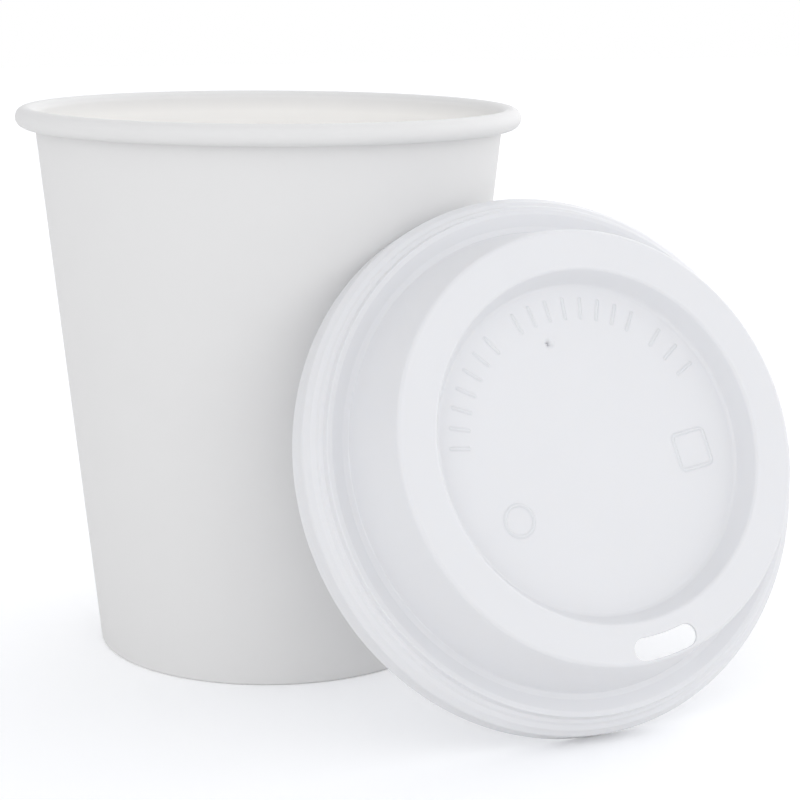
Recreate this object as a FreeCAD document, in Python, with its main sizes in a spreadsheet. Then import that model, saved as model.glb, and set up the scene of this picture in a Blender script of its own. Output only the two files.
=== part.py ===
"""A paper hot-drink cup and its sip lid.

Millimetres, +Z up. The origin is the centre of the cup's foot, on the surface that it stands on.
The lid is off the cup: it stands on its open edge in front (towards -Y) and leans back on the wall.
"""
import FreeCAD, Part

import math
import os
import re

import Sketcher

V = FreeCAD.Vector

# Driving dimensions, one named cell each
SIZES = {
    # the cup's outside
    "cup_height": 98.0,
    "rim_diameter": 90.0,
    "foot_diameter": 63.8,
    "bead_diameter": 3.6,
    # its paperboard, hem and seam
    "board": 0.35,
    "bottom_board": 0.30,
    "paper_gap": 0.03,
    "hem_depth": 5.9,
    "bottom_rise": 7.0,
    "skirt_end": 3.3,
    "lap_angle": 10.5,
    "lap_step": 0.22,
    "lap_start": 1.0,
    "lap_under_bead": 0.3,
    # the lid's sheet and the ring that grips the bead
    "lid_sheet": 0.35,
    "bead_grip": 0.25,
    "snap_depth": 0.35,
    "snap_height": 1.7,
    "bead_seat": 1.8,
    "skirt_taper": 0.2,
    "shoulder_bevel": 1.3,
    # its crest, groove, dome and recess
    "crest_rise": 1.7,
    "crest_width": 0.6,
    "groove_depth": 1.2,
    "groove_width": 3.3,
    "lid_height": 19.3,
    "top_diameter": 70.3,
    "recess_diameter": 57.2,
    "recess_floor_diameter": 53.2,
    "recess_depth": 4.9,
    # its sip slot and vent
    "slot_length": 11.6,
    "slot_width": 3.6,
    "slot_reach": 32.9,
    "vent_diameter": 1.0,
    "vent_reach": 18.0,
    "vent_aside": 1.4,
    # how the lid leans on the cup
    "lean": 23.0,
    "lid_aside": 27.5,
    "lid_turn": 9.0,
    "lean_gap": 0.10,
}

doc = FreeCAD.newDocument("cup_and_lid")
sheet = doc.addObject("Spreadsheet::Sheet", "Sizes")
for row, (alias, size) in enumerate(SIZES.items(), start=1):
    sheet.set(f"A{row}", alias)
    sheet.set(f"B{row}", str(size))
    sheet.setAlias(f"B{row}", alias)
doc.recompute()


def size(formula):
    """The value of a formula in the sheet's names, such as "rim_diameter / 2"."""
    return float(sheet.evalExpression(bound(formula)))


def bound(formula):
    """The formula with each of the sheet's names written as a reference to its cell."""
    return re.sub(r"[a-z_]+", lambda word: f"Sizes.{word[0]}" if word[0] in SIZES else word[0], formula)


def new_body(name):
    """An empty body whose label is the node's name."""
    body = doc.addObject("PartDesign::Body", name)
    body.Label = name
    return body


def new_sketch(body, name, role, lift=None):
    """A sketch on one of the body's own origin planes, lifted off it by a formula."""
    sketch = body.newObject("Sketcher::SketchObject", name)
    plane = [item for item in body.Origin.OriginFeatures if item.Role == role][0]
    sketch.AttachmentSupport = [(plane, "")]
    sketch.MapMode = "FlatFace"
    if lift:
        sketch.setExpression("AttachmentOffset.Base.z", bound(lift))
    return sketch


def dimension(sketch, name, kind, where, formula):
    """Adds one driving dimension and ties it to its formula."""
    index = sketch.addConstraint(Sketcher.Constraint(kind, *where, size(formula)))
    sketch.renameConstraint(index, name)
    sketch.setExpression(f"Constraints.{name}", bound(formula))


def place(sketch, name, point, across, up):
    """Holds a point of the sketch at two formulas, or on an axis where one is zero."""
    if across == "0":
        sketch.addConstraint(Sketcher.Constraint("PointOnObject", *point, -2))
    else:
        dimension(sketch, name + "_across", "DistanceX", (-1, 1, *point), across)
    if up == "0":
        sketch.addConstraint(Sketcher.Constraint("PointOnObject", *point, -1))
    else:
        dimension(sketch, name + "_up", "DistanceY", (-1, 1, *point), up)


def outline(sketch, corners):
    """Draws a closed outline of straight sides through corners (name, across, up)."""
    points = [V(size(across), size(up), 0) for _, across, up in corners]
    sides = [sketch.addGeometry(Part.LineSegment(start, end), False)
             for start, end in zip(points, points[1:] + points[:1])]
    for side, before in zip(sides, sides[-1:] + sides[:-1]):
        sketch.addConstraint(Sketcher.Constraint("Coincident", before, 2, side, 1))
    for side, (name, across, up) in zip(sides, corners):
        place(sketch, name, (side, 1), across, up)


def bent_slot(sketch):
    """Draws a round-ended slot whose two long sides are arcs about the origin, on the -Y side."""
    reach, half = size("slot_reach"), size("slot_width") / 2
    end_across = "(slot_length - slot_width) / 2"
    swing = math.asin(size(end_across) / reach)
    low, high = -math.pi / 2 - swing, -math.pi / 2 + swing
    axis = V(0, 0, 1)
    outer = sketch.addGeometry(Part.ArcOfCircle(Part.Circle(V(0, 0, 0), axis, reach + half), low, high), False)
    inner = sketch.addGeometry(Part.ArcOfCircle(Part.Circle(V(0, 0, 0), axis, reach - half), low, high), False)
    right = V(math.cos(high), math.sin(high), 0) * reach
    left = V(math.cos(low), math.sin(low), 0) * reach
    right_end = sketch.addGeometry(
        Part.ArcOfCircle(Part.Circle(right, axis, half), high, high + math.pi), False)
    left_end = sketch.addGeometry(
        Part.ArcOfCircle(Part.Circle(left, axis, half), low + math.pi, low + 2 * math.pi), False)
    for side in (outer, inner):
        sketch.addConstraint(Sketcher.Constraint("Coincident", side, 3, -1, 1))
    sketch.addConstraint(Sketcher.Constraint("Tangent", outer, 2, right_end, 1))
    sketch.addConstraint(Sketcher.Constraint("Tangent", right_end, 2, inner, 2))
    sketch.addConstraint(Sketcher.Constraint("Tangent", inner, 1, left_end, 1))
    sketch.addConstraint(Sketcher.Constraint("Tangent", left_end, 2, outer, 1))
    dimension(sketch, "outer_side", "Radius", (outer,), "slot_reach + slot_width / 2")
    dimension(sketch, "inner_side", "Radius", (inner,), "slot_reach - slot_width / 2")
    dimension(sketch, "right_end", "DistanceX", (-1, 1, right_end, 3), end_across)
    dimension(sketch, "left_end", "DistanceX", (left_end, 3, -1, 1), end_across)


def folded_strip(sketch, corners, thickness):
    """Draws the section of one sheet that is folded along a path, both faces and both cut edges.

    corners lists (name, across, up) along one face of the sheet. The other face lies one
    thickness to the left of the path.
    """
    gauge = size(thickness)
    points = [V(size(across), size(up), 0) for _, across, up in corners]
    runs = [(end - start).normalize() for start, end in zip(points, points[1:])]
    lefts = [V(-run.y, run.x, 0) for run in runs]
    # at a corner both offset runs meet along the mitre
    mitres = [lefts[0]]
    mitres += [(one + two) / (1 + one.dot(two)) for one, two in zip(lefts, lefts[1:])]
    mitres += [lefts[-1]]
    backs = [point + mitre * gauge for point, mitre in zip(points, mitres)]

    face, back = [
        [sketch.addGeometry(Part.LineSegment(start, end), False) for start, end in zip(line, line[1:])]
        for line in (points, backs)
    ]
    for chain in (face, back):
        for before, after in zip(chain, chain[1:]):
            sketch.addConstraint(Sketcher.Constraint("Coincident", before, 2, after, 1))
    for number, (front, rear) in enumerate(zip(face, back)):
        sketch.addConstraint(Sketcher.Constraint("Parallel", front, rear))
        dimension(sketch, f"gauge_{corners[number][0]}", "Distance", (front, 1, rear), thickness)

    # the cut edges of the sheet, square to its faces
    for end, side in ((1, 0), (2, -1)):
        cap = sketch.addGeometry(Part.LineSegment(points[side], backs[side]), False)
        sketch.addConstraint(Sketcher.Constraint("Coincident", face[side], end, cap, 1))
        sketch.addConstraint(Sketcher.Constraint("Coincident", back[side], end, cap, 2))
        sketch.addConstraint(Sketcher.Constraint("Perpendicular", face[side], cap))

    for line, (name, across, up) in zip(face, corners):
        place(sketch, name, (line, 1), across, up)
    place(sketch, corners[-1][0], (face[-1], 2), *corners[-1][1:])


def revolve(body, sketch, name, angle=None):
    """Turns a profile about the body's own Z axis, all the way round or evenly to both sides."""
    feature = body.newObject("PartDesign::Revolution", name)
    feature.Profile = sketch
    feature.ReferenceAxis = (sketch, ["V_Axis"])
    if angle:
        feature.Midplane = True
        feature.setExpression("Angle", bound(angle))
    else:
        feature.Angle = 360
    sketch.Visibility = False
    return feature


def cut(body, sketch, name, depth):
    """Cuts a profile straight down into the body by a formula, and makes sure that it did."""
    doc.recompute()
    before = body.Shape.Volume
    feature = body.newObject("PartDesign::Pocket", name)
    feature.Profile = sketch
    feature.setExpression("Length", bound(depth))
    sketch.Visibility = False
    doc.recompute()
    if body.Shape.Volume > before - 1e-4:
        raise RuntimeError(f"{name} cuts nothing")
    return feature


# Formulas that are shared: radii grow with height by the wall's slope, a thickness measured square
# to the sloping wall is a little wider when it is measured across, and the lid's skirt is stretched
# a little by the bead that it grips
FOOT = "foot_diameter / 2"
SLOPE = f"((rim_diameter / 2 - bead_diameter + board - {FOOT}) / (cup_height - bead_diameter / 2))"
ACROSS = f"sqrt(1 + {SLOPE} ^ 2)"
SKIRT = "rim_diameter / 2 - bead_grip + lid_sheet"


def wall_at(up, inward="0"):
    """The radius of the cup's outer face at a height, or of a face that lies inward of it."""
    return f"{FOOT} + {SLOPE} * ({up}) - ({inward}) * {ACROSS}"


def build_sidewall():
    """One sheet: hem folded up inside the foot, sloping wall, and the rim curled outwards."""
    body = new_body("cup_sidewall")
    # the curl runs from the sheet's edge back under the bead, out, over the top and into the wall,
    # in flats that touch the bead's circle at their middles
    centre_across = "rim_diameter / 2 - bead_diameter / 2"
    centre_up = "cup_height - bead_diameter / 2"
    reach = "bead_diameter / 2 / cos(22.5 deg)"
    corners = [
        (f"curl_{number}", f"{centre_across} + {reach} * cos({angle} deg)",
         f"{centre_up} + {reach} * sin({angle} deg)")
        for number, angle in enumerate((-112.5, -67.5, -22.5, 22.5, 67.5, 112.5))
    ]
    mouth = f"{centre_up} + {reach} * sin(22.5 deg)"
    room = "board + bottom_board + 2 * paper_gap"
    corners += [
        ("mouth", wall_at(mouth, "board"), mouth),
        ("foot", wall_at("board", "board"), "board"),
        ("flap_foot", wall_at("board", room), "board"),
        ("flap_top", wall_at("hem_depth", room), "hem_depth"),
    ]
    section = new_sketch(body, "wall_section", "XZ_Plane")
    folded_strip(section, corners, "board")
    revolve(body, section, "wall")

    # the side seam, where the two ends of the blank lie over each other at the back
    lap_end = "cup_height - bead_diameter - lap_under_bead"
    lap = new_sketch(body, "lap_section", "YZ_Plane")
    outline(lap, [
        ("lap_in_low", wall_at("lap_start", "board / 2"), "lap_start"),
        ("lap_out_low", wall_at("lap_start", "0 - lap_step"), "lap_start"),
        ("lap_out_high", wall_at(lap_end, "0 - lap_step"), lap_end),
        ("lap_in_high", wall_at(lap_end, "board / 2"), lap_end),
    ])
    revolve(body, lap, "lap", "lap_angle")
    return body


def build_bottom():
    """A disc of board whose edge is turned down, held between the wall and the hem."""
    body = new_body("cup_bottom")
    inward = "board + paper_gap + bottom_board"
    section = new_sketch(body, "bottom_section", "XZ_Plane")
    folded_strip(section, [
        ("centre", "0", "bottom_rise"),
        ("edge", wall_at("bottom_rise", inward), "bottom_rise"),
        ("skirt_end", wall_at("skirt_end", inward), "skirt_end"),
    ], "bottom_board")
    revolve(body, section, "bottom")
    return body


def build_lid():
    """One formed sheet, open side down: grip ring, shoulder, groove, dome and recessed top."""
    body = new_body("sip_lid")
    ledge = "bead_seat + bead_diameter + lid_sheet"
    plug = "rim_diameter / 2 - bead_diameter - lid_sheet"
    crest = f"{ledge} + crest_rise"
    groove = f"{crest} - groove_depth"
    floor = "lid_height - recess_depth"
    section = new_sketch(body, "lid_section", "XZ_Plane")
    folded_strip(section, [
        ("open_edge", SKIRT, "0"),
        ("snap", f"{SKIRT} - snap_depth", "snap_height"),
        ("skirt", f"{SKIRT} - skirt_taper", f"{ledge} - shoulder_bevel"),
        ("shoulder", f"{SKIRT} - skirt_taper - shoulder_bevel", ledge),
        ("ledge", f"{plug} + crest_width + crest_width", ledge),
        ("crest", f"{plug} + crest_width", crest),
        ("groove", f"{plug} + crest_width - groove_width", groove),
        ("top_edge", "top_diameter / 2", "lid_height"),
        ("recess_edge", "recess_diameter / 2", "lid_height"),
        ("recess_foot", "recess_floor_diameter / 2", floor),
        ("centre", "0", floor),
    ], "lid_sheet")
    revolve(body, section, "formed_sheet")

    # the sip slot, bent round the lid's axis, through the flat ring of the top
    slot = new_sketch(body, "slot_outline", "XY_Plane", "lid_height")
    bent_slot(slot)
    cut(body, slot, "sip_slot", "1.1 * lid_sheet")

    # the vent, through the recess floor on the side away from the slot
    hole = new_sketch(body, "vent_outline", "XY_Plane", floor)
    middle = V(-size("vent_aside"), size("vent_reach"), 0)
    circle = hole.addGeometry(Part.Circle(middle, V(0, 0, 1), size("vent_diameter") / 2), False)
    place(hole, "vent", (circle, 3), "0 - vent_aside", "vent_reach")
    dimension(hole, "vent_round", "Diameter", (circle,), "vent_diameter")
    cut(body, hole, "vent", "1.1 * lid_sheet")
    return body


def lean_lid(lid, cup):
    """Stands the lid on its open edge and slides it back until that edge meets the cup."""
    lean = math.radians(size("lean"))
    edge = size(SKIRT)
    turn = FreeCAD.Rotation(V(0, 0, 1), size("lid_turn"))
    tip = FreeCAD.Rotation(V(1, 0, 0), 90 - size("lean"))
    centre = V(size("lid_aside"), -size("rim_diameter + lid_height"), edge * math.cos(lean))
    facing = tip.multVec(V(0, 0, 1))
    gap = size("lean_gap")
    room = 2 * gap
    while room > 1.001 * gap:
        rim = Part.Face([
            Part.Wire(Part.Circle(centre, facing, edge).toShape()),
            Part.Wire(Part.Circle(centre, facing, edge - size("lid_sheet")).toShape()),
        ])
        room = rim.distToShape(cup.Shape)[0]
        centre.y += room - gap
    lid.Placement = FreeCAD.Placement(centre, tip.multiply(turn))
    return centre


sidewall = build_sidewall()
bottom = build_bottom()
lid = build_lid()
doc.recompute()
lid_centre = lean_lid(lid, sidewall)
doc.recompute()

for item in doc.Objects:
    if "Invalid" in item.State or "Error" in item.State:
        raise RuntimeError(f"{item.Label} failed: {item.State}")

os.makedirs("parts", exist_ok=True)
for piece in (sidewall, bottom, lid):
    if piece.Shape.isNull() or not piece.Shape.isValid() or len(piece.Shape.Solids) != 1:
        raise RuntimeError(f"{piece.Label} is not one valid solid")
    piece.Shape.exportStep(f"parts/{piece.Label}.step")
    box = piece.Shape.BoundBox
    print(f"{piece.Label}: {piece.Shape.Volume:.1f} mm3, {len(piece.Shape.Faces)} faces, "
          f"x {box.XMin:.2f}..{box.XMax:.2f}, y {box.YMin:.2f}..{box.YMax:.2f}, z {box.ZMin:.2f}..{box.ZMax:.2f}")
print("lid centre", [round(value, 3) for value in lid_centre])
for item in doc.Objects:
    if item.TypeId == "Sketcher::SketchObject":
        print(f"{item.Label}: fully constrained {item.FullyConstrained}")
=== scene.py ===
# %% [markdown]
# # A paper hot-drink cup and its sip lid
#
# The cup is plain white paperboard with a rolled rim. Its lid is off: it stands on its open edge in
# front of the cup and leans back on the wall. Both are white on white, so nearly everything that the
# eye reads comes from soft shading over round forms: the bead of the rim, the lid's stepped rings, and
# the shadows where one thing meets another.
#
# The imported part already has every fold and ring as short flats. Here each piece is built again with
# true bends, from one outline turned about an axis, and then given its finish.

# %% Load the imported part
import math

import bmesh
import bpy
import numpy as np
from mathutils import Matrix, Vector


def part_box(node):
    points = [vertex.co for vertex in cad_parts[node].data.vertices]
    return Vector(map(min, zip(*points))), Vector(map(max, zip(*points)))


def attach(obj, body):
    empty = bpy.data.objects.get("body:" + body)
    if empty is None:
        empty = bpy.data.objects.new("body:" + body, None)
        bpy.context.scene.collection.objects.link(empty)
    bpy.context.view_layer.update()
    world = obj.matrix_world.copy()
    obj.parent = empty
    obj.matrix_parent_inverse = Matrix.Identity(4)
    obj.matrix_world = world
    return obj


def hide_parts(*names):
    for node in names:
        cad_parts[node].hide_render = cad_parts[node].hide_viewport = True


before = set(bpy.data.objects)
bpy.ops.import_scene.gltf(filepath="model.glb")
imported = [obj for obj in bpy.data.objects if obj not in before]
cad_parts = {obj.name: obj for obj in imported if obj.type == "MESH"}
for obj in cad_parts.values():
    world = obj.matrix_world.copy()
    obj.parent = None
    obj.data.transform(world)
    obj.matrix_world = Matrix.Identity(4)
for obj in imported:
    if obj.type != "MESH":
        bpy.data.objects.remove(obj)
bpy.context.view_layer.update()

MM = 0.001  # the numbers below are millimetres, and meshes are made in metres

lid_low, lid_high = (np.array(corner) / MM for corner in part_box("sip_lid"))
rim_radius, _, cup_height = np.array(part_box("cup_sidewall")[1]) / MM
print(f"cup {cup_height:.1f} mm tall, rim {2 * rim_radius:.1f} mm across")

# %% [markdown]
# ## One outline for one folded sheet
#
# Paperboard and formed plastic sheet have the same thickness everywhere. So each piece is described by
# one path along one face of its sheet, with a bend radius at each corner. The other face is the same
# path moved by the sheet's thickness along its normals, and the cut edges are half rounds that join
# the two. Drawing both faces by hand would be twice the work and would never stay parallel.

# %% Round the corners of a path and give it thickness
BEND_STEP = math.radians(7.5)  # one step round a bend


def bent_path(corners):
    """Points and left-hand normals along a path of straights and arcs.

    corners are rows of (across, up, bend radius). At each corner an arc of that radius touches both
    straights. Its points are the arc's centre plus the radius times a unit normal that turns evenly.
    """
    corners = np.array(corners, float)
    places, bends = corners[:, :2], corners[:, 2]
    runs = np.diff(places, axis=0)
    runs /= np.linalg.norm(runs, axis=1)[:, None]
    lefts = np.stack([-runs[:, 1], runs[:, 0]], 1)
    points, normals = [places[:1]], [lefts[:1]]
    for place, bend, before, after, run in zip(places[1:-1], bends[1:-1], lefts, lefts[1:], runs):
        angle = math.atan2(before[0] * after[1] - before[1] * after[0], before @ after)
        side = math.copysign(1.0, angle)
        centre = place - run * bend * math.tan(abs(angle) / 2) + side * bend * before
        swing = np.linspace(0, angle, max(2, math.ceil(abs(angle) / BEND_STEP)) + 1)[:, None]
        normal = np.cos(swing) * before + np.sin(swing) * np.array([-before[1], before[0]])
        points.append(centre - side * bend * normal)
        normals.append(normal)
    points.append(places[-1:])
    normals.append(lefts[-1:])
    return np.concatenate(points), np.concatenate(normals)


def sheet_outline(points, normals, gauge, open_ends):
    """The section's closed outline: out along one face, round the cut edge, back along the other.

    The cut edge is a half circle as wide as the sheet is thick. open_ends says for the start and the
    end of the path whether it is a cut edge. An end that isn't one lies on the axis and stays square.
    """
    backs = points + normals * gauge
    edges = []
    for tip, way in ((0, -1.0), (-1, 1.0)):
        middle = (points[tip] + backs[tip]) / 2
        normal = normals[tip] * way
        ahead = np.array([normal[1], -normal[0]])
        swing = np.linspace(0, math.pi, 7)[1:-1, None]
        edges.append(middle + gauge / 2 * (np.sin(swing) * ahead - np.cos(swing) * normal))
    start, end = (edge if cut else edge[:0] for edge, cut in zip(edges, open_ends))
    return np.concatenate([points, end, backs[::-1], start])


# %% [markdown]
# ## From outline to solid
#
# Everything here was wound or formed round an axis, so each surface is its outline turned about that
# axis: a grid with one direction along the outline and the other round the circle. A sheet that
# crosses the axis, such as the lid, closes there in one point. A screw modifier could do this too, but
# a grid in numpy also lets a seam be raised on part of the circle.

# %% Turn an outline about the vertical axis
def even_angles(count):
    """count directions round the full circle, in radians."""
    return np.arange(count) * (2 * math.pi / count)


def turned(outline, angles, raised=0.0):
    """Points and faces of an outline turned about Z.

    Point (i, j) is (across_i cos angle_j, across_i sin angle_j, up_i). raised adds its own amount to
    across, at every point or at each (i, j). Rows join to the next one, and the last to the first,
    unless the outline begins and ends on the axis: then each end is a fan about one point.
    """
    across, up = outline.T
    reach = across[:, None] + raised
    grid = np.stack(
        np.broadcast_arrays(reach * np.cos(angles), reach * np.sin(angles), up[:, None]), -1)
    index = np.arange(grid[:, :, 0].size).reshape(grid.shape[:2])
    if abs(across[0]) > 1e-6:
        return grid.reshape(-1, 3), strips(index, np.roll(index, -1, 0))
    rings = index[:-2] + 1  # the first pole is point 0, and the rings follow it
    first, last, pole = rings[0], rings[-1], rings.size + 1
    faces = strips(rings[:-1], rings[1:])
    faces += np.stack([np.zeros_like(first), np.roll(first, -1), first], -1).tolist()
    faces += np.stack([np.full_like(last, pole), last, np.roll(last, -1)], -1).tolist()
    return np.concatenate([grid[0, :1], grid[1:-1].reshape(-1, 3), grid[-1, :1]]), faces


def strips(low, high):
    """Quads between two stacks of closed rows, as lists of point numbers."""
    return np.stack([low, np.roll(low, -1, 1), np.roll(high, -1, 1), high], -1).reshape(-1, 4).tolist()


# %% [markdown]
# A mesh made from numbers keeps the corners of its faces in the order in which they are written, so a
# turned outline can come out inside out. Its normals are therefore worked out again. Its place goes
# into its points, and the object stays at the origin, so a pattern in the material can't slide.

# %% Make a piece
def new_piece(name, points, faces, place=Matrix.Identity(4)):
    """A smooth-shaded mesh object from points in millimetres, put in its place in the mesh itself."""
    mesh = bpy.data.meshes.new(name)
    turn, shift = np.array(place.to_3x3()), np.array(place.translation)
    mesh.from_pydata(((points @ turn.T + shift) * MM).tolist(), [], faces)
    clean = bmesh.new()
    clean.from_mesh(mesh)
    bmesh.ops.recalc_face_normals(clean, faces=clean.faces)
    clean.to_mesh(mesh)
    clean.free()
    mesh.shade_smooth()
    piece = bpy.data.objects.new(name, mesh)
    bpy.context.scene.collection.objects.link(piece)
    return piece


CREASE = math.radians(40)  # an edge sharper than this is shaded as an edge


def steady_shading(piece):
    """Large faces set the direction of shading, so flats stay flat beside small bends."""
    piece.data.set_sharp_from_angle(angle=CREASE)
    modifier = piece.modifiers.new("steady_shading", "WEIGHTED_NORMAL")
    modifier.keep_sharp = True
    modifier.weight = 100


# %% [markdown]
# ## The cup's wall
#
# The wall is one fan-shaped blank wrapped into a cone. Its lower edge is folded inwards and up, which
# makes the hem that the cup stands on, and its upper edge is rolled outwards over a die into the bead
# that stiffens the mouth. The path runs along the outer face of the board: down the hem, round the
# foot, up the wall, and round the inside of the curl until the board's edge meets the wall again.

# %% The wall's outline
BOARD = 0.35
BOTTOM_BOARD = 0.30
PAPER_GAP = 0.03
FOOT_RADIUS = 31.9
BEAD = 3.6
CURL_END = math.radians(-146)  # where the curl's cut edge meets the wall, from straight outwards
HEM_DEPTH = 5.9
FOLD = 0.5

bead_centre = np.array([rim_radius - BEAD / 2, cup_height - BEAD / 2])
slope = (bead_centre[0] - BEAD / 2 + BOARD - FOOT_RADIUS) / bead_centre[1]
stretch = math.hypot(1, slope)


def wall_at(up, inward=0.0):
    """The radius of the wall's outer face at a height, or of a face that far inside it."""
    return FOOT_RADIUS + slope * up - inward * stretch


hem_room = BOARD + BOTTOM_BOARD + 2 * PAPER_GAP + BOARD
hem_path, hem_normals = bent_path([
    (wall_at(HEM_DEPTH, hem_room), HEM_DEPTH, 0),
    (wall_at(0, hem_room), 0, FOLD),
    (wall_at(0), 0, FOLD),
    (wall_at(bead_centre[1]), bead_centre[1], 0),
])
curl = np.arange(math.pi - math.atan(slope), CURL_END, -BEND_STEP)
curl_normals = np.stack([np.cos(curl), np.sin(curl)], 1)
curl_path = bead_centre + (BEAD / 2 - BOARD) * curl_normals
print(f"wall: {wall_at(0):.2f} mm at the foot, {wall_at(bead_centre[1]):.2f} mm at the bead's middle")

# %% [markdown]
# The side seam is at the back. There the two ends of the blank lie over each other, so the outer face
# steps out by a little less than the board's thickness, because the seam is pressed while it is hot.
# The plain wall is straight from foot to bead and would need no points between them. It gets a few
# rows all the same, so that the step can start just above the foot and end just below the bead.

# %% The wall, with its seam
SEAM_ANGLE = math.radians(10.5)
SEAM_STEP = 0.22
SEAM_EDGE = math.radians(0.35)

BACK = math.pi / 2
edge_turns = SEAM_ANGLE / 2 + SEAM_EDGE * np.array([-1, 0, 1]) / 2
seam_edges = BACK + np.array([-1, 1])[:, None] * edge_turns
wall_angles = np.unique(np.concatenate([even_angles(360), seam_edges.ravel()]).round(6))
on_seam = np.clip(0.5 - (np.abs(wall_angles - BACK) - SEAM_ANGLE / 2) / SEAM_EDGE, 0, 1)

row_heights = np.array([1.0, 1.6, 40.0, 93.4, 94.0])
row_lift = np.array([0, SEAM_STEP, SEAM_STEP, SEAM_STEP, 0])
row_points = np.stack([wall_at(row_heights), row_heights], 1)
row_normals = np.repeat(hem_normals[-1:], len(row_heights), 0)
wall_outline = sheet_outline(
    np.concatenate([hem_path[:-1], row_points, curl_path]),
    np.concatenate([hem_normals[:-1], row_normals, curl_normals]), BOARD, (True, True))
lift = np.zeros(len(wall_outline))
lift[len(hem_path) - 1:][:len(row_lift)] = row_lift

cup_wall = new_piece("cup_wall_board", *turned(wall_outline, wall_angles, lift[:, None] * on_seam))
steady_shading(cup_wall)
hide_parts("cup_sidewall")
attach(cup_wall, "root")
print("cup wall:", len(cup_wall.data.polygons), "faces")

# %% [markdown]
# The board is lined with film on the side of the drink. That inner face is painted much lighter than the
# outer face: painted fill light, which makes up for the shade inside the cup. It is marked here with a
# number on each point: 1 on the inner face, fading to 0 over the top of the rim.

# %% Mark the face that gets painted fill light
PAINTED_INSIDE_TOP = 0.6  # below the top of the rim
PAINTED_INSIDE_FADE = 3.0

spots = np.empty(3 * len(cup_wall.data.vertices), np.float32)
cup_wall.data.vertices.foreach_get("co", spots)
spots = spots.reshape(-1, 3).astype(float) / MM
inner_face = np.hypot(spots[:, 0], spots[:, 1]) < wall_at(spots[:, 2], BOARD / 2)
# 1 paints the inner face in the lighter colour of painted fill light, fading to 0 over the rim
painted_inside_light = inner_face * np.clip((cup_height - PAINTED_INSIDE_TOP - spots[:, 2]) / PAINTED_INSIDE_FADE, 0, 1)
cup_wall.data.attributes.new("painted_inside_light", "FLOAT", "POINT").data.foreach_set("value", painted_inside_light)
print("lined points:", int((painted_inside_light > 0).sum()), "of", len(spots))

# %% [markdown]
# ## The bottom
#
# The bottom is a disc of thinner board whose edge is pressed down into a short skirt. The hem and the
# wall hold that skirt between them, so the disc sits above the table and never gets wet from it.

# %% The bottom
BOTTOM_RISE = 7.0
SKIRT_END = 3.3

inward = BOARD + PAPER_GAP + BOTTOM_BOARD
bottom_path = bent_path([
    (0, BOTTOM_RISE, 0),
    (wall_at(BOTTOM_RISE, inward), BOTTOM_RISE, 0.6),
    (wall_at(SKIRT_END, inward), SKIRT_END, 0),
])
bottom_outline = sheet_outline(*bottom_path, BOTTOM_BOARD, (False, True))
cup_bottom = new_piece("cup_bottom_board", *turned(bottom_outline, even_angles(240)))
steady_shading(cup_bottom)
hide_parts("cup_bottom")
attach(cup_bottom, "root")
print("cup bottom:", len(cup_bottom.data.polygons), "faces")

# %% [markdown]
# ## The lid
#
# The lid is one thin sheet of plastic, drawn hot over a mould. Seen along its outline from the open
# edge: a skirt that narrows by a hair where it snaps under the bead, a shoulder that climbs over the
# bead in small steps, a narrow crest, a nearly flat ring, the dome's wall, the drinking ring and the
# sunken middle. The sheet can't turn a sharp corner, so each of these has a bend, and those bends
# catch the light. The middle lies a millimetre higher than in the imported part, as the photograph has it.

# %% The lid's outline
LID_SHEET = 0.35
LID_EDGE = 45.1
LID_TOP = 19.3
RECESS_FLOOR = 15.4

lid_path = bent_path([
    (LID_EDGE, 0.05, 0),  # the open edge
    (44.95, 1.7, 3.0),  # where it snaps under the bead
    (45.0, 4.0, 0.9),
    (44.35, 4.7, 0.4),  # the shoulder's steps
    (44.05, 5.15, 0.4),
    (43.25, 5.6, 0.35),
    (42.95, 6.05, 0.35),
    (42.3, 6.3, 0.3),
    (42.1, 7.45, 0.25),  # the crest
    (41.2, 7.45, 0.3),
    (39.3, 6.85, 0.3),  # the ring at the dome's foot
    (38.2, 6.85, 0.35),
    (35.15, LID_TOP, 0.8),  # the drinking ring
    (28.6, LID_TOP, 0.7),
    (26.9, RECESS_FLOOR, 0.9),  # the sunken middle
    (0, RECESS_FLOOR, 0),
])
# rolled round, so that the outline begins and ends on the axis and not at the open edge
lid_outline = np.roll(sheet_outline(*lid_path, LID_SHEET, (True, False)), -len(lid_path[0]), 0)
print("lid outline:", len(lid_outline), "points")

# %% [markdown]
# The lid is built upright about its own axis and then set in its place: turned a little about that
# axis, tipped back by its lean, and moved so that its open edge stands on the floor.

# %% Where the lid stands
LEAN = math.radians(23.0)
LID_TURN = math.radians(9.0)

lid_centre = Vector((
    (lid_low[0] + lid_high[0]) / 2,
    lid_high[1] - LID_EDGE * math.sin(LEAN),
    LID_EDGE * math.cos(LEAN),
))
lid_place = (Matrix.Translation(lid_centre) @ Matrix.Rotation(math.pi / 2 - LEAN, 4, "X")
             @ Matrix.Rotation(LID_TURN, 4, "Z"))
print("lid centre:", [round(value, 2) for value in lid_centre])

sip_lid = new_piece("lid_formed_sheet", *turned(lid_outline, even_angles(360)), lid_place)

# %% [markdown]
# The sip slot and the vent are made after forming. Their tools are drawn as closed solids and taken
# away from the sheet with a Boolean, because cutting the grid itself along a slot would need a mesh
# that bends round it. Each tool widens near the outer face, so the hole's edge is slightly broken. The
# vent is pierced with a hot needle, which leaves a small funnel and a short collar on the inside. The
# collar is added first, and the needle's shape is then taken out of sheet and collar together.

# %% The tools for the slot and the vent
SLOT_REACH = 32.9
SLOT_WIDTH = 3.6
SLOT_LENGTH = 11.6
VENT_PLACE = np.array([-1.4, 18.0])
VENT_RADIUS = 0.2


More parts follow.
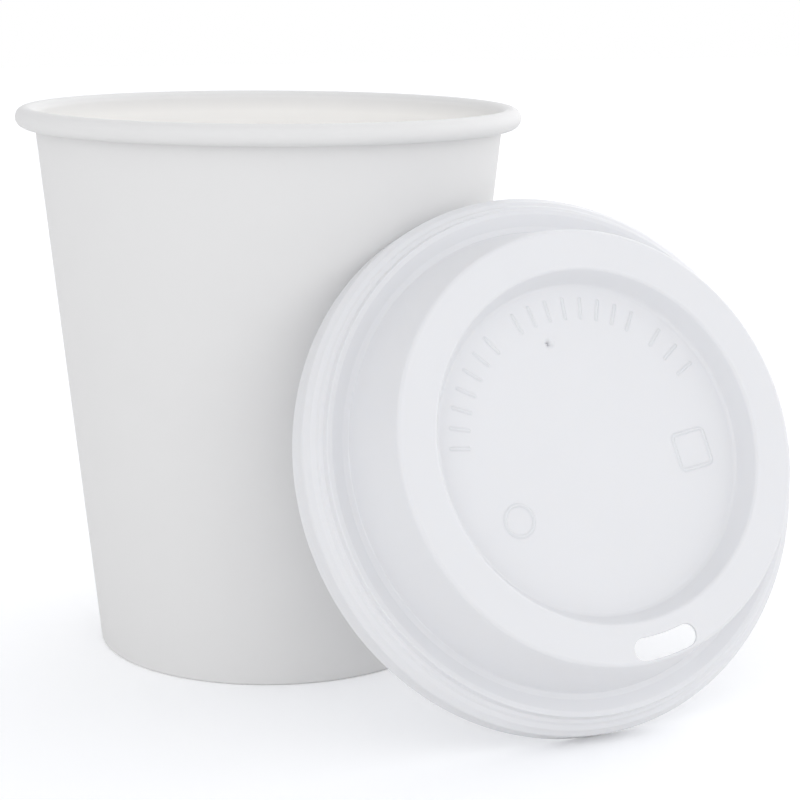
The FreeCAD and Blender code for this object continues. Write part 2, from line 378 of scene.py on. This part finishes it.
def prism(name, outline, levels):
    """A closed solid: an outline carried up through levels (height, growth), with flat ends.

    Point (i, j) is outline point j moved out by growth i along the outline's normal, at height i.
    """
    ahead = np.roll(outline, -1, 0) - np.roll(outline, 1, 0)
    outward = np.stack([ahead[:, 1], -ahead[:, 0]], 1) / np.linalg.norm(ahead, axis=1)[:, None]
    heights, growth = np.array(levels).T
    flat = outline[None] + growth[:, None, None] * outward[None]
    up = np.broadcast_to(heights[:, None, None], (len(heights), len(outline), 1))
    index = np.arange(up.size).reshape(len(heights), len(outline))
    faces = strips(index[:-1], index[1:]) + [index[0][::-1].tolist(), index[-1].tolist()]
    return new_piece(name, np.concatenate([flat, up], -1).reshape(-1, 3), faces, lid_place)


def around(angle, reach):
    """Points at angles and a reach from the lid's axis."""
    return reach * np.stack([np.cos(angle), np.sin(angle)], -1)


# %% [markdown]
# The slot is bent round the lid's axis like the drinking ring that it lies in. Once the three Booleans
# have run, their result becomes the sheet's own mesh, so that nothing is left to be worked out again.

# %% Take the tools' shapes out of the sheet
half = SLOT_WIDTH / 2
swing = math.asin((SLOT_LENGTH / 2 - half) / SLOT_REACH)
side = np.linspace(-swing, swing, 15) - math.pi / 2
end = np.linspace(0, math.pi, 13)[1:-1]
slot_outline = np.concatenate([
    around(side, SLOT_REACH + half),
    around(side[-1], SLOT_REACH) + around(side[-1] + end, half),
    around(side[::-1], SLOT_REACH - half),
    around(side[0], SLOT_REACH) + around(side[0] + math.pi + end, half),
])
slot_punch = prism("slot_punch", slot_outline, [
    (LID_TOP - 2.0, 0), (LID_TOP - 0.14, 0), (LID_TOP + 0.01, 0.09), (LID_TOP + 1, 0.09)])

vent_round = VENT_PLACE + around(even_angles(40), VENT_RADIUS)
vent_collar = prism("vent_collar", vent_round, [(RECESS_FLOOR - 1.3, 0.2), (RECESS_FLOOR - 0.15, 0.55)])
vent_needle = prism("vent_needle", vent_round, [
    (RECESS_FLOOR - 2.0, 0), (RECESS_FLOOR - 0.9, 0.02), (RECESS_FLOOR - 0.55, 0.15),
    (RECESS_FLOOR - 0.3, 0.38), (RECESS_FLOOR - 0.12, 0.62), (RECESS_FLOOR + 0.01, 0.85),
    (RECESS_FLOOR + 1, 0.85)])

for tool, operation in ((vent_collar, "UNION"), (vent_needle, "DIFFERENCE"), (slot_punch, "DIFFERENCE")):
    cut = sip_lid.modifiers.new(tool.name, "BOOLEAN")
    cut.operation, cut.solver, cut.object = operation, "EXACT", tool
bpy.context.view_layer.update()
with_cuts = sip_lid.evaluated_get(bpy.context.evaluated_depsgraph_get())
punched = bpy.data.meshes.new_from_object(with_cuts)
sip_lid.modifiers.clear()
sip_lid.data = punched
for tool in (slot_punch, vent_collar, vent_needle):
    bpy.data.objects.remove(tool)
steady_shading(sip_lid)
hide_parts("sip_lid")
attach(sip_lid, "root")
print("lid:", len(sip_lid.data.polygons), "faces")

# %% [markdown]
# Lids carry low raised marks on the sunken middle, pressed into the sheet by the mould. These are plain
# ones: three groups of bars in an arc, a ring and a rounded square. They stand on the sheet as thin
# closed ridges. Displacing the sheet would need its whole grid to be as fine as the marks are.

# %% A low ridge along a path
MARK_WIDTH = 0.75
MARK_RISE = 0.18
MARK_FOOT = 0.12
BAR_REACH = (21.1, 25.0)
BAR_GROUPS = ((-76, -30, 7), (-15, 38, 8), (51, 69, 3))  # first and last degree, how many
RING_PLACE, RING_RADIUS = np.array([-16.2, -7.8]), 2.5
SQUARE_PLACE, SQUARE_HALF, SQUARE_BEND = np.array([18.2, -4.8]), 3.0, 0.8


def ridge(path, closed):
    """Points and faces of a low ridge along a path on the recess floor.

    At distance d from the path its height is rise (1 + cos(pi d / half width)) / 2, so it meets the
    floor without a corner. The two ends of an open path fall away in the same way.
    """
    ahead = (np.roll(path, -1, 0) - np.roll(path, 1, 0)) if closed else np.gradient(path, axis=0)
    aside = np.stack([-ahead[:, 1], ahead[:, 0]], 1) / np.linalg.norm(ahead, axis=1)[:, None]
    across = np.linspace(-1, 1, 9)
    rise = MARK_RISE * (1 + np.cos(math.pi * across)) / 2
    level = np.ones(len(path))
    if not closed:
        run = np.linalg.norm(path - path[0], axis=1)
        to_end = np.clip(np.minimum(run, run[-1] - run) / (MARK_WIDTH / 2), 0, 1)
        level = (1 - np.cos(math.pi * to_end)) / 2
    flat = path[:, None] + aside[:, None] * (across * MARK_WIDTH / 2)[:, None]
    top = np.concatenate([flat, (RECESS_FLOOR - 0.01 + level[:, None] * rise)[:, :, None]], -1)
    foot = top[:, [-1, 0]]
    foot[:, :, 2] = RECESS_FLOOR - MARK_FOOT
    points = np.concatenate([top, foot], 1)
    index = np.arange(points[:, :, 0].size).reshape(points.shape[:2])
    if closed:
        return points.reshape(-1, 3), strips(index, np.roll(index, -1, 0))
    ends = [index[0][::-1].tolist(), index[-1].tolist()]
    return points.reshape(-1, 3), strips(index[:-1], index[1:]) + ends


# %% Bars, ring and rounded square
bar_turns = np.radians(np.concatenate([np.linspace(*group) for group in BAR_GROUPS]))
near_end = MARK_WIDTH / 2 * np.linspace(0, 1, 6)
bar_run = np.concatenate([BAR_REACH[0] + near_end, BAR_REACH[1] - near_end[::-1]])
bar_ways = np.stack([np.sin(bar_turns), np.cos(bar_turns)], 1)
ridges = [ridge(bar_run[:, None] * way, False) for way in bar_ways]

ring_path = RING_PLACE + around(even_angles(64), RING_RADIUS)
quarter = around(np.linspace(0, math.pi / 2, 7), SQUARE_BEND) + SQUARE_HALF - SQUARE_BEND
quarter_turn = np.array([[0.0, 1.0], [-1.0, 0.0]])
square_path = np.concatenate(
    [quarter @ np.linalg.matrix_power(quarter_turn, corner) for corner in range(4)])
ridges += [ridge(ring_path, True), ridge(SQUARE_PLACE + square_path, True)]

starts = np.cumsum([0] + [len(points) for points, _ in ridges])
mark_faces = [
    [corner + start for corner in face] for (_, faces), start in zip(ridges, starts) for face in faces]
mark_points = np.concatenate([points for points, _ in ridges])
lid_marks = new_piece("lid_raised_marks", mark_points, mark_faces, lid_place)
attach(lid_marks, "root")
print("lid marks:", len(ridges), "ridges,", len(mark_faces), "faces")

# %% [markdown]
# ## Colours and nodes
#
# Colours are written as they look on a screen and turned to linear light by one function. Patterns are
# sized from real millimetres: a noise texture's scale is how many of its features fit in a metre.

# %% Colour, scale and node helpers
def linear(hex_colour):
    """A screen colour such as "#E4E4E4" as linear red, green, blue and alpha."""
    parts = np.array([int(hex_colour[at:at + 2], 16) / 255 for at in (1, 3, 5)])
    light = np.where(parts <= 0.04045, parts / 12.92, ((parts + 0.055) / 1.055) ** 2.4)
    return (*light.tolist(), 1.0)


def per_metre(feature):
    """The texture scale at which one feature is that many millimetres."""
    return 1 / (feature * MM)


def add_node(tree, kind, settings=None, **inputs):
    """Adds a node, sets its properties, and sets or links its inputs by name or by number.

    An input is written with its name, spaces as underscores, or as input_0, input_1 and so on.
    """
    made = tree.nodes.new(kind)
    for key, value in (settings or {}).items():
        setattr(made, key, value)
    for key, value in inputs.items():
        socket = made.inputs[int(key[6:]) if key.startswith("input_") else key.replace("_", " ")]
        if isinstance(value, bpy.types.NodeSocket):
            tree.links.new(value, socket)
        else:
            socket.default_value = value
    return made


def new_material(name):
    """An empty material and its node tree, with only the output node."""
    material = bpy.data.materials.new(name)
    material.use_nodes = True
    material.node_tree.nodes.clear()
    return material, material.node_tree, material.node_tree.nodes.new("ShaderNodeOutputMaterial")


print("mid grey in linear light:", round(linear("#808080")[0], 3))

# %% [markdown]
# ## Coated paperboard
#
# Cup board is bleached pulp with a thin film of polyethylene. The film takes the shine off the fibres
# only partly: highlights are wide and faint, and the surface still has the cloudy, slightly uneven
# tone of pulp. Two scales of noise make that: clouds of about a centimetre in colour and roughness,
# and fibres of a few tenths of a millimetre in the bump. Real fibres are finer than a pixel here, so
# they are drawn a little coarser than they are.

# %% Paperboard material
CLOUD = 11.0
FIBRE = 0.5
FIBRE_HEIGHT = 0.006


def paperboard(name, colour, cloudy, painted_inside, roughness):
    """Bleached board: cloudy tone, faint wide highlight, fine fibre relief, and a lighter colour painted
    on the inner face as fill light inside the cup.
    """
    material, tree, output = new_material(name)
    place = add_node(tree, "ShaderNodeTexCoord").outputs["Object"]
    clouds = add_node(tree, "ShaderNodeTexNoise", Vector=place, Scale=per_metre(CLOUD), Detail=4.0,
                      Roughness=0.6).outputs["Fac"]
    gloss = add_node(tree, "ShaderNodeMapRange", Value=clouds,
                     To_Min=roughness - 0.05, To_Max=roughness + 0.05)
    along = add_node(tree, "ShaderNodeMapping", Vector=place, Scale=(1.0, 1.0, 0.35))
    fibres = add_node(tree, "ShaderNodeTexNoise", Vector=along.outputs["Vector"], Scale=per_metre(FIBRE),
                      Detail=3.0, Roughness=0.65)
    relief = add_node(tree, "ShaderNodeBump", Strength=0.6, Distance=FIBRE_HEIGHT * MM,
                      Height=fibres.outputs["Fac"])
    # the inner face's number mixes in the lighter painted colour, a painted fill light inside the cup
    inside_light_mask = add_node(tree, "ShaderNodeAttribute", {"attribute_name": "painted_inside_light"}).outputs["Fac"]
    pulp = add_node(tree, "ShaderNodeMix", {"data_type": "RGBA"}, input_0=clouds,
                    input_6=linear(cloudy), input_7=linear(colour)).outputs[2]
    tone = add_node(tree, "ShaderNodeMix", {"data_type": "RGBA"}, input_0=inside_light_mask,
                    input_6=pulp, input_7=linear(painted_inside)).outputs[2]
    board = add_node(tree, "ShaderNodeBsdfPrincipled", Base_Color=tone,
                     Roughness=gloss.outputs["Result"], IOR=1.5, Specular_IOR_Level=0.35,
                     Normal=relief.outputs["Normal"])
    tree.links.new(board.outputs["BSDF"], output.inputs["Surface"])
    return material


BOARD_ROUGHNESS = 0.5
# the third colour is painted fill light: the inner face is painted far lighter than the outer one
cup_wall.data.materials.append(
    paperboard("paperboard_painted_inside_light", "#E4E4E4", "#E2E2E2", "#FBFAF8", BOARD_ROUGHNESS))
# the bottom is painted nearly as light as the inner face all over, as painted fill light inside the cup
cup_bottom.data.materials.append(
    paperboard("bottom_board_painted_light", "#F7F6F4", "#F5F4F2", "#F7F6F4", BOARD_ROUGHNESS))
print("board:", [piece.data.materials[0].name for piece in (cup_wall, cup_bottom)])

# %% [markdown]
# ## Thermoformed polystyrene
#
# The lid's sheet is opaque white polystyrene. It left the mould with a soft gloss, and its faces are
# never quite flat, because the sheet thinned unevenly as it was drawn. A slow, shallow wave in the
# bump makes the highlights drift as they do on the real thing. A little light travels inside white
# plastic, which softens the edges of shadows on the small steps.

# %% Lid material
WAVE, WAVE_HEIGHT = 14.0, 0.12
GRAIN, GRAIN_HEIGHT = 0.6, 0.004


def formed_plastic(name, colour, thin_colour):
    """White formed sheet: soft gloss, a slow wave from drawing, a fine grain from the mould."""
    material, tree, output = new_material(name)
    place = add_node(tree, "ShaderNodeTexCoord").outputs["Object"]
    wave = add_node(tree, "ShaderNodeTexNoise", Vector=place, Scale=per_metre(WAVE), Detail=2.0,
                    Roughness=0.5).outputs["Fac"]
    grain = add_node(tree, "ShaderNodeTexNoise", Vector=place, Scale=per_metre(GRAIN), Detail=2.0,
                     Roughness=0.5).outputs["Fac"]
    drift = add_node(tree, "ShaderNodeBump", Strength=0.5, Distance=WAVE_HEIGHT * MM, Height=wave)
    relief = add_node(tree, "ShaderNodeBump", Strength=0.3, Distance=GRAIN_HEIGHT * MM, Height=grain,
                      Normal=drift.outputs["Normal"])
    gloss = add_node(tree, "ShaderNodeMapRange", Value=grain, To_Min=0.30, To_Max=0.40)
    tone = add_node(tree, "ShaderNodeMix", {"data_type": "RGBA"}, input_0=wave,
                    input_6=linear(thin_colour), input_7=linear(colour)).outputs[2]
    plastic = add_node(tree, "ShaderNodeBsdfPrincipled", IOR=1.55, Base_Color=tone,
                       Roughness=gloss.outputs["Result"], Normal=relief.outputs["Normal"],
                       Subsurface_Weight=0.15, Subsurface_Radius=(1.0, 0.9, 0.8),
                       Subsurface_Scale=0.8 * MM)
    tree.links.new(plastic.outputs["BSDF"], output.inputs["Surface"])
    return material


lid_plastic = formed_plastic("thermoformed_white_polystyrene", "#E4E5E8", "#E2E3E6")
for piece in (sip_lid, lid_marks):
    piece.data.materials.clear()
    piece.data.materials.append(lid_plastic)
print("plastic:", lid_plastic.name, "with", len(lid_plastic.node_tree.nodes), "nodes")

# %% [markdown]
# ## Floor, light and camera
#
# The photograph is a product shot on white. The floor is white and keeps only a soft shadow close to
# the cup. To the camera it is a shade lighter than its paint, so that it ends in plain white a little
# way from the cup, while the light that it throws back on the cup stays that of white paper.

# %% Floor
FLOOR_HALF = 2000.0
FLOOR_GLOW = 0.15

floor_corners = np.array([(-1, -1, 0), (1, -1, 0), (1, 1, 0), (-1, 1, 0)]) * FLOOR_HALF
floor = new_piece("floor", floor_corners, [(0, 1, 2, 3)])
white, tree, output = new_material("white_paper_floor")
looking = add_node(tree, "ShaderNodeLightPath").outputs["Is Camera Ray"]
paint = add_node(tree, "ShaderNodeMix", {"data_type": "RGBA"}, input_0=looking,
                 input_6=linear("#FAFAFA"), input_7=linear("#FAFBFD")).outputs[2]
matt = add_node(tree, "ShaderNodeBsdfDiffuse", Color=paint)
glow = add_node(tree, "ShaderNodeEmission", Strength=add_node(
    tree, "ShaderNodeMath", {"operation": "MULTIPLY"}, input_0=looking, input_1=FLOOR_GLOW).outputs[0])
both = add_node(tree, "ShaderNodeAddShader", input_0=matt.outputs[0], input_1=glow.outputs[0])
tree.links.new(both.outputs[0], output.inputs["Surface"])
floor.data.materials.append(white)
print(f"floor: {2 * FLOOR_HALF * MM:.0f} m square")

# %% [markdown]
# The studio is a tent of white cloth with soft lights behind it. So the light is a smooth function of
# direction: one even level, and to that a wide soft light for each lamp behind the cloth. Each falls
# off as the sixth power of the cosine to its middle, which is about as wide as a sheet of cloth lit
# from behind. Lamps as objects would draw harder shadows than the photograph has.

# %% World
EVEN_LEVEL = 0.74
SOFT_LIGHTS = ((-135, 0.95), (-45, 0.50), (0, 0.80), (45, 0.90))  # degrees from X towards Y, strength
SOFT_HEIGHT = math.radians(15)
FALL_OFF = 6.0  # the power of the cosine

world = bpy.data.worlds.new("white_light_tent")
bpy.context.scene.world = world
world.use_nodes = True
tree = world.node_tree
tree.nodes.clear()
direction = add_node(tree, "ShaderNodeTexCoord").outputs["Generated"]
level = EVEN_LEVEL
for azimuth, strength in SOFT_LIGHTS:
    turn = math.radians(azimuth)
    middle = Vector((math.cos(turn), math.sin(turn), math.tan(SOFT_HEIGHT)))
    cosine = add_node(tree, "ShaderNodeVectorMath", {"operation": "DOT_PRODUCT"}, input_0=direction,
                      input_1=middle.normalized()).outputs["Value"]
    facing = add_node(tree, "ShaderNodeMath", {"operation": "MAXIMUM"}, input_0=cosine, input_1=0.0)
    soft = add_node(tree, "ShaderNodeMath", {"operation": "POWER"}, input_0=facing.outputs[0],
                    input_1=FALL_OFF)
    level = add_node(tree, "ShaderNodeMath", {"operation": "MULTIPLY_ADD"}, input_0=soft.outputs[0],
                     input_1=strength, input_2=level).outputs[0]
round_about = add_node(tree, "ShaderNodeBackground", Color=linear("#FEFEFF"), Strength=level)
seen = add_node(tree, "ShaderNodeBackground", Color=linear("#FFFFFF"), Strength=1.0)
looking = add_node(tree, "ShaderNodeLightPath").outputs["Is Camera Ray"]
either = add_node(tree, "ShaderNodeMixShader", Fac=looking, input_1=round_about.outputs[0],
                  input_2=seen.outputs[0])
add_node(tree, "ShaderNodeOutputWorld", Surface=either.outputs["Shader"])
print("light: an even level of", EVEN_LEVEL, "and", len(SOFT_LIGHTS), "soft lights")

# %% [markdown]
# The camera stands in front of the cup and a little to its left, above the rim, and looks down on it.
# Its place and aim were worked out from the curves of the rim, the foot and the lid.

# %% Camera
CAMERA_PLACE = (-134.64, -344.10, 123.2)
CAMERA_YAW = math.radians(25.054)
CAMERA_PITCH = math.radians(-12.095)
CAMERA_ROLL = math.radians(0.470)
LENS = 91.89

camera = bpy.data.cameras.new("camera")
camera.lens, camera.sensor_width = LENS, 36.0
camera.clip_start, camera.clip_end = 0.01, 100.0
eye = bpy.data.objects.new("camera", camera)
eye.matrix_world = (
    Matrix.Translation(Vector(CAMERA_PLACE) * MM) @ Matrix.Rotation(-CAMERA_YAW, 4, "Z")
    @ Matrix.Rotation(math.pi / 2 + CAMERA_PITCH, 4, "X") @ Matrix.Rotation(CAMERA_ROLL, 4, "Z"))
bpy.context.scene.collection.objects.link(eye)
bpy.context.scene.camera = eye
print(f"camera: {LENS} mm lens, {math.hypot(*CAMERA_PLACE):.0f} mm from the cup's foot")

# %% Finish
bpy.context.scene.view_settings.view_transform = "Standard"
